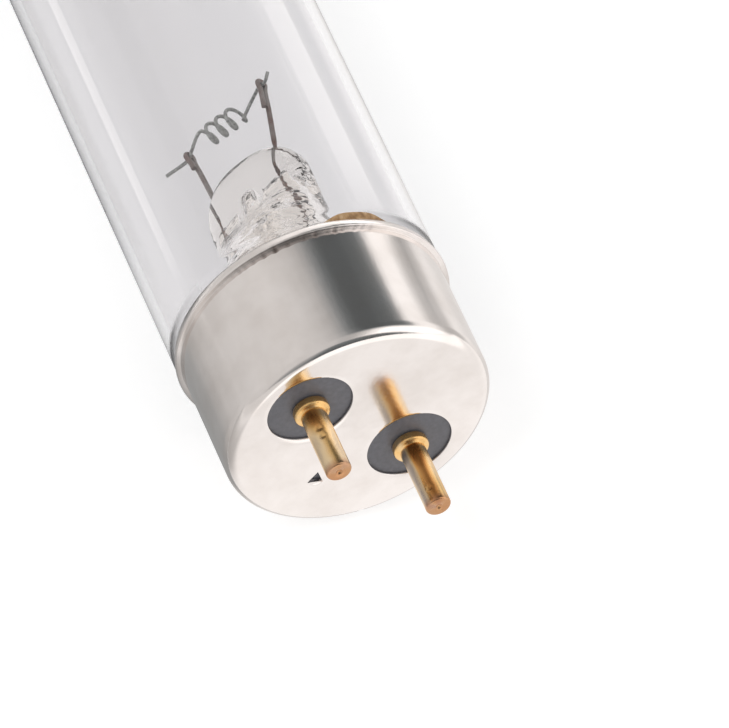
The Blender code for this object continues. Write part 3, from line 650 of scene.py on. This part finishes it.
def make_pin(side, label, sense, finishes):
    """Contact pin: turned profile with tip dimple, collar and rivet head, and pressed crimps.

    A crimp takes its depth off the radius, as a bell curve round the pin and along it. The
    attribute for the finish is 0.5 for clean gold, more in a band along one side, near the collar
    of one pin and all along the other, as painted dark reflection, and less along two lines round
    the pin, as painted highlight.
    """
    tip, collar_back = -PIN_LENGTH, 0.3
    profile = np.concatenate([
        [(tip + 0.2, 0.02), (tip + 0.18, 0.12), (tip + 0.06, 0.26), (tip, 0.36)],
        arc(tip + 0.25, PIN_RADIUS - 0.25, 0.25, 0, 90, 8),
        np.stack([np.linspace(-6.9, -0.72, 70), np.full(70, PIN_RADIUS)], -1),
        arc(-0.35, COLLAR_RADIUS - 0.25, 0.25, 0, 90, 8),
        [(0.1, COLLAR_RADIUS), (0.22, COLLAR_RADIUS - 0.06), (collar_back, PIN_RADIUS + 0.2),
         (collar_back, PIN_RADIUS), (2.0, PIN_RADIUS), (2.0, COLLAR_RADIUS),
         (2.3, COLLAR_RADIUS - 0.05), (2.4, COLLAR_RADIUS - 0.2), (2.4, 0.6),
         (tip + 1.0, 0.6), (tip + 1.0, 0.05)]])
    facets = 96
    points = turned(profile, facets)
    angle = ring_angles(facets)
    crimp_angle, crimp_depth, crimp_width, crimp_length = 149, 0.11, 0.26, 0.24
    press = np.zeros(points.shape[:2])
    for place in {"a": (-3.0, -3.9), "b": (-5.9,)}[label]:
        for turn in (0.0, 180.0):
            gap = around(angle, math.radians(crimp_angle + turn))
            press += (crimp_depth * bell(gap * PIN_RADIUS, 0, crimp_width)
                      * bell(points[..., 0], place, crimp_length))
    press *= np.hypot(points[..., 1], points[..., 2]) > 0.9
    points[..., 1:] *= (1 - press / PIN_RADIUS)[..., None]
    points[..., 1] += sense * PIN_OFFSET
    offset, middle, spread = {"a": (0.0, 158, 0.75), "b": (0.9, 143, 0.58)}[label]
    # A brown band along one side, painted dark reflection: near the collar on pin a, all along
    # pin b
    heated = bell(points[..., 0], -1.6, 1.4) + offset
    on_top = bell(around(angle, math.radians(middle)), 0, spread)
    # Two paler lines round the pin, painted highlight
    painted_highlight = {"a": 0.22, "b": 0.55}[label] * bell(around(angle, math.radians(193)), 0, 0.58)
    painted_highlight = painted_highlight + 0.26 * bell(around(angle, math.radians(102)), 0, 0.4)
    past_collar = points[..., 0] < -0.75
    painted_reflection = np.clip(0.5 + past_collar * (0.5 * heated * on_top - painted_highlight), 0, 1)
    pin = piece_from(f"{side}_pin_{label}_fine", to_world(points, side), sharp=35)
    set_numbers(pin, "painted_reflection", np.append(painted_reflection, (0.5, 0.5)))
    finish_piece(pin, f"{side}_pin_{label}", finishes["brass"])


def oval(depth, width, thickness, squareness, facets=128):
    """Ring grid of ovals: z = width cos a and y = thickness sin a, each to a power.

    Squareness 1 is an ellipse, and a smaller power gives flatter sides.
    """
    angle = 2 * np.pi * (np.arange(facets) + 0.5) / facets
    depth, width, thickness, power = (np.asarray(v, float)[:, None]
                                      for v in (depth, width, thickness, squareness))
    across = np.sign(np.sin(angle)) * np.abs(np.sin(angle)) ** power
    along_z = np.sign(np.cos(angle)) * np.abs(np.cos(angle)) ** power
    return np.stack([depth * np.ones(facets), thickness * across, width * along_z], -1)


def make_stem(side, finishes):
    """Stem: trumpet flare, tube and domed press as an outer and an inner skin of ovals.

    The flare's radius falls with the square of the way along it. The press is an oval whose
    sides pass smoothly from the tube's, under a dome of a quarter wave. The exhaust tube is
    joined on inside, and its bore and its side port are cut.
    """
    mouth, flare_end, tube_end, full, top = 4.9, 13.0, 20.0, 26.5, 31.6
    tube_radius, wall, press_width, press_half, squareness = 5.75, 1.25, 6.0, 1.75, 0.75
    hollow_end, hollow_half, lean, shift = 26.9, 0.3, 0.7, 0.45
    exhaust_radius, bore_radius, bore_end = 1.7, 1.0, 27.4
    hollow_radius = tube_radius - wall
    share = np.linspace(1, 0, 18)
    flare = flare_end - share * (flare_end - mouth)
    radius = tube_radius + (NECK_RADIUS - TUBE_WALL - 0.1 - tube_radius) * share ** 2
    body = np.linspace(flare_end, full, 40)[1:]
    way = ease(tube_end, full, body)
    crown = np.radians(np.linspace(0, 88, 26))[1:]
    outer = np.concatenate([
        oval(flare, radius, radius, np.ones_like(flare)),
        oval(body, tube_radius + (press_width - tube_radius) * way,
             tube_radius + (press_half - tube_radius) * way, 1 - (1 - squareness) * way),
        oval(full + (top - full) * np.sin(crown), press_width * np.cos(crown) ** 0.7,
             press_half * np.cos(crown) ** 0.4, np.full_like(crown, squareness))])
    set_over = ease(tube_end, full, outer[..., 0])
    outer[..., 0] -= lean * ease(full - 3, top, outer[..., 0]) * outer[..., 2] / press_width
    outer[..., 2] += shift * set_over
    hollow = np.linspace(flare_end, hollow_end, 40)[1:]
    shut = ease(tube_end, hollow_end, hollow)
    inner = np.concatenate([
        oval(flare, radius - wall, radius - wall, np.ones_like(flare)),
        oval(hollow, np.full_like(hollow, hollow_radius),
             hollow_radius + (hollow_half - hollow_radius) * shut, np.ones_like(hollow)),
        oval([27.1, 27.2], [4.2, 2.0], [0.2, 0.08], [1.0, 1.0])])
    points = np.concatenate([outer[::-1], inner])
    stem = piece_from(side + "_stem_fine", to_world(points, side))
    tip = arc(5.0, 0.0, exhaust_radius, 4, 90, 14)
    tube = np.concatenate([tip, [(depth, exhaust_radius) for depth in (10.0, 20.0, 28.9)]])
    cut(stem, piece_from("exhaust", to_world(turned(tube, 48), side)), "UNION")
    bore = np.concatenate([arc(6.0, 0.0, bore_radius, 4, 90, 8),
                           [(15.0, bore_radius), (bore_end, bore_radius)],
                           arc(bore_end, 0.0, bore_radius - 0.02, 100, 176, 8)])
    cut(stem, piece_from("bore", to_world(turned(bore, 48), side)))
    port = along([(bore_end, 0, 0), (27.5, 1.0, 0), (27.6, 2.0, 0), (27.6, 4.0, 0)],
                 [0.6, 0.65, 0.8, 0.9], 32)
    cut(stem, piece_from("port", to_world(port, side)))
    finish_piece(stem, side + "_stem", finishes["stem_glass"])


def make_lead(side, label, sense, finishes):
    """Lead wire: a straight slant out of the press, then folded over the strand.

    The hook is half a circle over the strand, and its two legs close up on each other below.
    """
    top, bend, legs, hook = CLAMP_DEPTH, 0.46, 0.27, {"a": 1.5, "b": 2.35}[label]
    clamp, foot = sense * 5.03 + 0.7, sense * FOOT_OFFSET
    lean = (clamp - foot) / (top - FOOT_DEPTH)
    path = smooth([(FOOT_DEPTH, 0, foot), (30.0, 0.05, foot + 1.4 * lean),
                   (top - 2.6, legs, clamp - 2.6 * lean),
                   (top - 0.8, legs, clamp - 0.8 * lean), (top, bend, clamp)], 14)
    fold = np.radians(np.linspace(0, 180, 17))[1:]
    over = np.stack([top + bend * np.sin(fold), bend * np.cos(fold),
                     np.full_like(fold, clamp)], -1)
    down = smooth([over[-1], (top - 0.8, -legs, clamp - 0.8 * lean),
                   (top - hook, -legs, clamp - hook * lean)], 8)[1:]
    path = np.concatenate([path, over, down])
    thickness = 0.25 - 0.09 * ease(31.4, 30.4, path[:, 0])
    lead = piece_from(f"{side}_lead_{label}_fine", to_world(along(path, thickness, 24), side))
    finish_piece(lead, f"{side}_lead_{label}", finishes["nickel"])


def make_seal_wire(side, label, sense, finishes):
    """Seal wire: from the lead down through the press and the stem, then out into the pin."""
    foot, pin = sense * FOOT_OFFSET, sense * PIN_OFFSET
    route = [(FOOT_DEPTH, 0, foot), (20.0, 0, foot), (13.0, 0.05 * pin, foot),
             (8.95, 0.35 * pin, 0.95 * foot), (4.9, 0.88 * pin, 0.45 * foot),
             (2.4, pin, 0), (0.4, pin, 0), (-6.3, pin, 0)]
    wire = piece_from(f"{side}_seal_wire_{label}_fine",
                      to_world(along(smooth(route, 16), 0.15, 16), side))
    finish_piece(wire, f"{side}_seal_wire_{label}", finishes["copper"])


def make_filament(side, finishes):
    """Filament: a strand along tail, leg, open coil, leg and tail.

    The coil's axis slopes a little. The strand is itself wound of fine wire, so its radius
    swells and shrinks once for each fine turn.
    """
    turns, pitch, radius, shift, slope = 3.5, 1.2, 0.93, 0.3, -0.2
    coil_depth, tail_depth = CLAMP_DEPTH - 0.1, CLAMP_DEPTH + 0.6
    angle = np.linspace(0, 2 * np.pi * turns, 140)
    from_middle = pitch * (angle / (2 * np.pi) - turns / 2)
    coil = np.stack([coil_depth + slope * from_middle + radius * np.cos(angle),
                     radius * np.sin(angle), shift + from_middle], -1)
    left = smooth([(tail_depth, 0, -7.53), (CLAMP_DEPTH, 0, -4.9), (CLAMP_DEPTH + 0.3, 0, -4.15),
                   coil[0] + (-0.28, -0.25, -0.85), coil[0] + (0, -0.1, -0.1), coil[4]], 30)[:-30]
    right = smooth([coil[-6], coil[-1] + (0.1, 0.0, 0.05), (CLAMP_DEPTH, 0, 5.2),
                    (CLAMP_DEPTH, 0, 6.2), (tail_depth, 0, 6.93)], 30)[30:]
    path = np.concatenate([left, coil[5:-6], right])
    length = np.concatenate([[0], np.cumsum(np.linalg.norm(np.diff(path, axis=0), axis=1))])
    fine = 0.085
    even = np.linspace(0, length[-1], int(length[-1] / fine * 6))
    path = np.stack([np.interp(even, length, path[:, axis]) for axis in range(3)], -1)
    thick = 0.16 + 0.012 * np.cos(2 * np.pi * even / fine)
    strand = piece_from(side + "_filament_fine", to_world(along(path, thick, 20), side), sharp=80)
    finish_piece(strand, side + "_filament", finishes["tungsten"])


# Studio, in metres, with angles in degrees about the lamp: 0 towards +Y and 90 straight up

TENT_RADIUS = 1.2
TENT_REACH = 2.4
SHEET_LIFT = 0.0006
CARD_RADIUS = 0.06
END_FACE = FACE_TO_FACE / 2 * MM


def stage_piece(name, points, faces, material):
    """A floor or panel, which isn't part of the lamp."""
    mesh = bpy.data.meshes.new(name)
    mesh.from_pydata(points.tolist(), [], faces.tolist())
    mesh.materials.append(material)
    piece = add_object(name, mesh)
    return piece


def seen_by(tree, first, *others):
    """1 for rays of the named kinds and 0 for the rest: the greatest of these outputs."""
    rays = add_node(tree, "ShaderNodeLightPath").outputs
    seen = rays[first]
    for kind in others:
        seen = add_node(tree, "ShaderNodeMath", {0: seen, 1: rays[kind]}, operation="MAXIMUM")
    return seen


def glowing(name):
    """A material without a shader, and its tree."""
    material = bpy.data.materials.new(name)
    material.use_nodes = True
    material.node_tree.nodes.clear()
    return material, material.node_tree


def make_floor():
    """A wide white floor: it takes the lamp's shadow, and shows white where light is even."""
    material, tree = glowing("floor_white_paint")
    seen = seen_by(tree, "Is Camera Ray", "Is Glossy Ray", "Is Transmission Ray")
    lift = add_node(tree, "ShaderNodeMath", {0: seen}, {1: 0.57}, operation="MULTIPLY")
    glow = add_node(tree, "ShaderNodeEmission", {"Strength": lift})
    paint = add_node(tree, "ShaderNodeBsdfDiffuse", values={"Color": (0.7, 0.7, 0.7, 1)})
    both = add_node(tree, "ShaderNodeAddShader", {0: glow, 1: paint})
    add_node(tree, "ShaderNodeOutputMaterial", {"Surface": both})
    reach = 8.0
    corners = np.array([(-reach, -reach, 0), (reach, -reach, 0), (reach, reach, 0),
                        (-reach, reach, 0)])
    return stage_piece("floor", corners, np.array([[0, 1, 2, 3]]), material)


def blend(keys, places):
    """Values at the places: smooth steps between keys, each a (place, value) pair."""
    at, values = np.array(keys).T
    index = np.clip(np.searchsorted(at, places) - 1, 0, len(at) - 2)
    share = np.clip((places - at[index]) / (at[index + 1] - at[index]), 0, 1)
    return values[index] + (values[index + 1] - values[index]) * share * share * (3 - 2 * share)


def sheet(name, points, level):
    """A glowing cloth from a grid of places and brightness, seen only in reflections."""
    rows, columns = points.shape[:2]
    corner = (np.arange(rows - 1)[:, None] * columns + np.arange(columns - 1)).reshape(-1)
    faces = np.stack([corner, corner + 1, corner + columns + 1, corner + columns], -1)
    material, tree = glowing(name + "_cloth")
    shade = add_node(tree, "ShaderNodeAttribute", attribute_name="brightness").outputs["Fac"]
    tint = add_node(tree, "ShaderNodeValToRGB", {"Fac": shade},
                    stops=((0.15, "#f6fdff"), (0.5, "#fffbf8")))
    glow = add_node(tree, "ShaderNodeEmission", {"Strength": shade, "Color": tint})
    add_node(tree, "ShaderNodeOutputMaterial", {"Surface": glow})
    cloth = stage_piece(name, points.reshape(-1, 3), faces, material)
    set_numbers(cloth, "brightness", level)
    for kind in ("camera", "diffuse", "transmission", "volume_scatter", "shadow"):
        setattr(cloth, "visible_" + kind, False)


def make_arch():
    """Cloth arched over the lamp's length.

    Across the lamp its brightness changes with the angle. Along the lamp it passes from an even
    light behind the lamp, over the lights beside it, to those in front of it and the dark of
    the room beyond them.
    """
    behind = ((0, 0.9), (20, 1.15), (95, 1.15), (118, 0.62), (180, 0.58))
    beside = ((0, 0.55), (6, 0.58), (12, 0.82), (17, 1.08), (28, 1.10), (32, 0.95),
              (37, 0.30), (43, 0.16), (52, 0.13), (60, 0.11), (72, 0.11), (78, 0.16),
              (83, 0.26), (88, 0.40), (95, 0.53), (103, 0.62), (112, 0.68), (128, 0.73),
              (160, 0.70), (180, 0.66))
    before = ((0, 1.1), (10, 1.45), (52, 1.45), (62, 1.05), (72, 0.65), (80, 0.5), (88, 0.5),
              (98, 0.62), (115, 0.68), (150, 0.70), (180, 0.66))
    far_off = ((0, 0.18), (95, 0.18), (120, 0.42), (180, 0.45))
    angle = np.linspace(0, 180, 451)
    x = np.linspace(-TENT_REACH, TENT_REACH, 161)[:, None]
    level = 0
    for keys, reach in ((behind, ((-1.5, 1), (-1.0, 0))),
                        (beside, ((-1.5, 0), (-1.0, 1), (0.2, 1), (0.7, 0))),
                        (before, ((0.2, 0), (0.7, 1), (1.5, 1), (2.1, 0))),
                        (far_off, ((1.5, 0), (2.1, 1)))):
        level = level + blend(keys, angle) * blend(reach, x)
    turn = np.radians(angle)
    ring = np.stack([0 * turn, TENT_RADIUS * np.cos(turn),
                     TENT_RADIUS * np.sin(turn) + SHEET_LIFT], -1)
    sheet("tent", ring[None] + x[:, :, None] * (1, 0, 0), level)


def make_card():
    """A small card, bent round the lamp close to the glass, which lays a bright band on it."""
    angle = np.linspace(10, 38, 57)
    x = np.linspace(-0.1, 0.166, 54)[:, None]
    turn = np.radians(angle)
    ring = np.stack([0 * turn, np.cos(turn), np.sin(turn)], -1) * CARD_RADIUS
    across = blend(((11, 0), (14, 2.0), (32, 1.8), (35, 0.5), (38, 0)), angle)
    level = 0.55 + across * blend(((0.157, 1), (0.166, 0.5)), x)
    sheet("card_right", ring[None] + x[:, :, None] * (1, 0, 0) + (0, 0, AXIS_HEIGHT * MM),
          level)


def make_side_sheets():
    """Sheets on the floor on both sides of the lamp.

    Their brightness changes with the distance from the lamp, with one set of keys where the
    cap sees them and another where the tube does. Under the cap's end they are lighter. Their
    low levels near the lamp are painted shadow of the lamp on the floor, seen in reflections.
    """
    rows = np.concatenate([np.linspace(-TENT_REACH, 0.0, 41), np.linspace(0.01, 0.2, 48),
                           np.linspace(0.203, END_FACE, 24)])[:, None]
    # Levels under the floor's white near the lamp are painted shadow, seen only in reflections
    right = {"by_cap": ((0, 0.6), (0.02, 0.80), (0.029, 0.80), (0.055, 0.93), (0.12, 0.60),
                        (0.3, 0.57), (TENT_RADIUS, 0.55)),
             "by_tube": ((0, 0.6), (0.02, 0.6), (0.03, 0.9), (0.06, 0.95), (0.12, 0.3),
                         (0.35, 0.3), (TENT_RADIUS, 0.5))}
    left = {"by_cap": ((0, 0.35), (0.014, 0.35), (0.022, 0.38), (0.030, 0.47), (0.044, 0.565),
                       (0.073, 0.60), (0.12, 0.65), (TENT_RADIUS, 0.66)),
            "by_tube": ((0, 0.05), (0.026, 0.05), (0.034, 0.35), (0.046, 0.35), (0.055, 0.05),
                        (0.062, 1.9), (0.098, 1.9), (0.11, 0.3), (0.15, 0.5), (0.2, 0.64),
                        (TENT_RADIUS, 0.66))}
    for name, sense, start, keys in (("sheet_right", 1, 0.0005, right),
                                     ("sheet_left", -1, 0.0, left)):
        away = np.concatenate([[start], np.geomspace(0.005, TENT_RADIUS, 120)])
        line = np.stack([0 * away, sense * away, 0 * away + SHEET_LIFT], -1)
        seen_at = rows + 0.75 * np.hypot(away - 0.011, 0.019)
        share = blend(((0.19, 0), (0.204, 1)), seen_at)
        level = share * blend(keys["by_cap"], away) + (1 - share) * blend(keys["by_tube"], away)
        under = (blend(((END_FACE - 0.010, 0), (END_FACE - 0.005, 1)), rows)
                 * blend(((0.008, 1), (0.016, 0)), away))
        level = level + (0.8 - level) * under
        sheet(name, line[None] + rows[:, :, None] * (1, 0, 0), level)


def make_front_sheet():
    """A sheet on the floor in front of the near cap's face, darker on the left."""
    ahead = np.concatenate([[0.0002], np.geomspace(0.002, 2.2, 100)])[:, None]
    wide = np.concatenate([np.linspace(-TENT_RADIUS, -0.03, 8), np.linspace(-0.027, 0.027, 37),
                           np.linspace(0.03, TENT_RADIUS, 8)])
    # Lower levels near the face and on the left are painted shade on the floor, seen in the
    # face's reflection
    away = blend(((0, 1.08), (0.006, 1.06), (0.014, 0.98), (0.021, 0.99), (0.032, 1.29),
                  (0.6, 1.29), (2.2, 0.6)), ahead)
    aside = (blend(((-0.022, 1), (-0.011, 0)), wide)
             * blend(((0, 0.55), (0.025, 0.3), (0.05, 0.42), (0.6, 0.42)), ahead))
    points = np.stack(np.broadcast_arrays(END_FACE + ahead, wide, SHEET_LIFT), -1)
    sheet("sheet_front", points, away * (1 - aside))


def make_walls():
    """The walls across both ends of the tent: a dark room in front, a light cloth behind.

    Their brightness rises evenly with the height, and changes from left to right.
    """
    wide = np.linspace(-TENT_RADIUS, TENT_RADIUS, 41)
    high = np.linspace(0, TENT_RADIUS, 21)[:, None]
    for name, place, bottom, top, across in (
            ("room_front", TENT_REACH, 0.10, 0.18, ((-0.8, 2.6), (-0.1, 1.0))),
            ("wall_behind", -TENT_REACH, 0.95, 1.15, ((-0.9, 0.62), (0.2, 1.0)))):
        points = np.stack(np.broadcast_arrays(place, wide, high + SHEET_LIFT), -1)
        level = (bottom + (top - bottom) * high / TENT_RADIUS) * np.ones_like(wide)
        sheet(name, points, level * blend(across, wide))


def make_light():
    """Even white surroundings and one large soft lamp from above on the left."""
    scene = bpy.context.scene
    world = bpy.data.worlds.new("studio")
    scene.world = world
    world.use_nodes = True
    tree = world.node_tree
    background = tree.nodes["Background"]
    seen = seen_by(tree, "Is Camera Ray", "Is Transmission Ray")
    level = add_node(tree, "ShaderNodeMapRange", {"Value": seen}, passage(0, 1, 0.62, 1.0))
    connect(tree, background, {"Strength": level})
    background.inputs["Color"].default_value = (1, 1, 1, 1)
    lamp = bpy.data.lights.new("softbox", "AREA")
    lamp.shape = "DISK"
    lamp.size = 0.9
    lamp.energy = 6.0
    box = add_object("softbox", lamp)
    box.location = (0.5, -0.9, 1.4)
    box.rotation_euler = (-box.location).to_track_quat("-Z", "Y").to_euler()
    box.visible_glossy = False
    box.visible_transmission = False


def make_camera():
    """The photograph's view: a long lens, close to the near cap and above it."""
    camera = bpy.data.cameras.new("camera")
    camera.sensor_width = 36.0
    camera.lens = 392.34
    camera.clip_start = 0.05
    camera.clip_end = 50.0
    holder = add_object("camera", camera)
    holder.location = (0.6321096, -0.1491757, 0.5523580)
    look = Vector((-0.6001883, 0.2169238, -0.7698819))
    holder.rotation_euler = look.to_track_quat("-Z", "Y").to_euler()
    bpy.context.scene.camera = holder


def main():
    """Makes every piece, the studio and the camera."""
    finishes = make_finishes()
    make_tube(finishes)
    make_mercury(finishes)
    for side in SIDES:
        make_cap(side, finishes)
        make_cement(side, finishes)
        make_stem(side, finishes)
        make_filament(side, finishes)
        for label, sense in PAIR:
            make_pin(side, label, sense, finishes)
            make_lead(side, label, sense, finishes)
            make_seal_wire(side, label, sense, finishes)
        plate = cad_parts[side + "_insulator"]
        plate.material_slots[0].material = finishes["insulator"]
    make_floor()
    make_arch()
    make_card()
    make_side_sheets()
    make_front_sheet()
    make_walls()
    make_light()
    make_camera()
    scene = bpy.context.scene
    scene.view_settings.view_transform = "Standard"
    scene.cycles.max_bounces = 28
    scene.cycles.transmission_bounces = 28
    scene.cycles.glossy_bounces = 8


main()
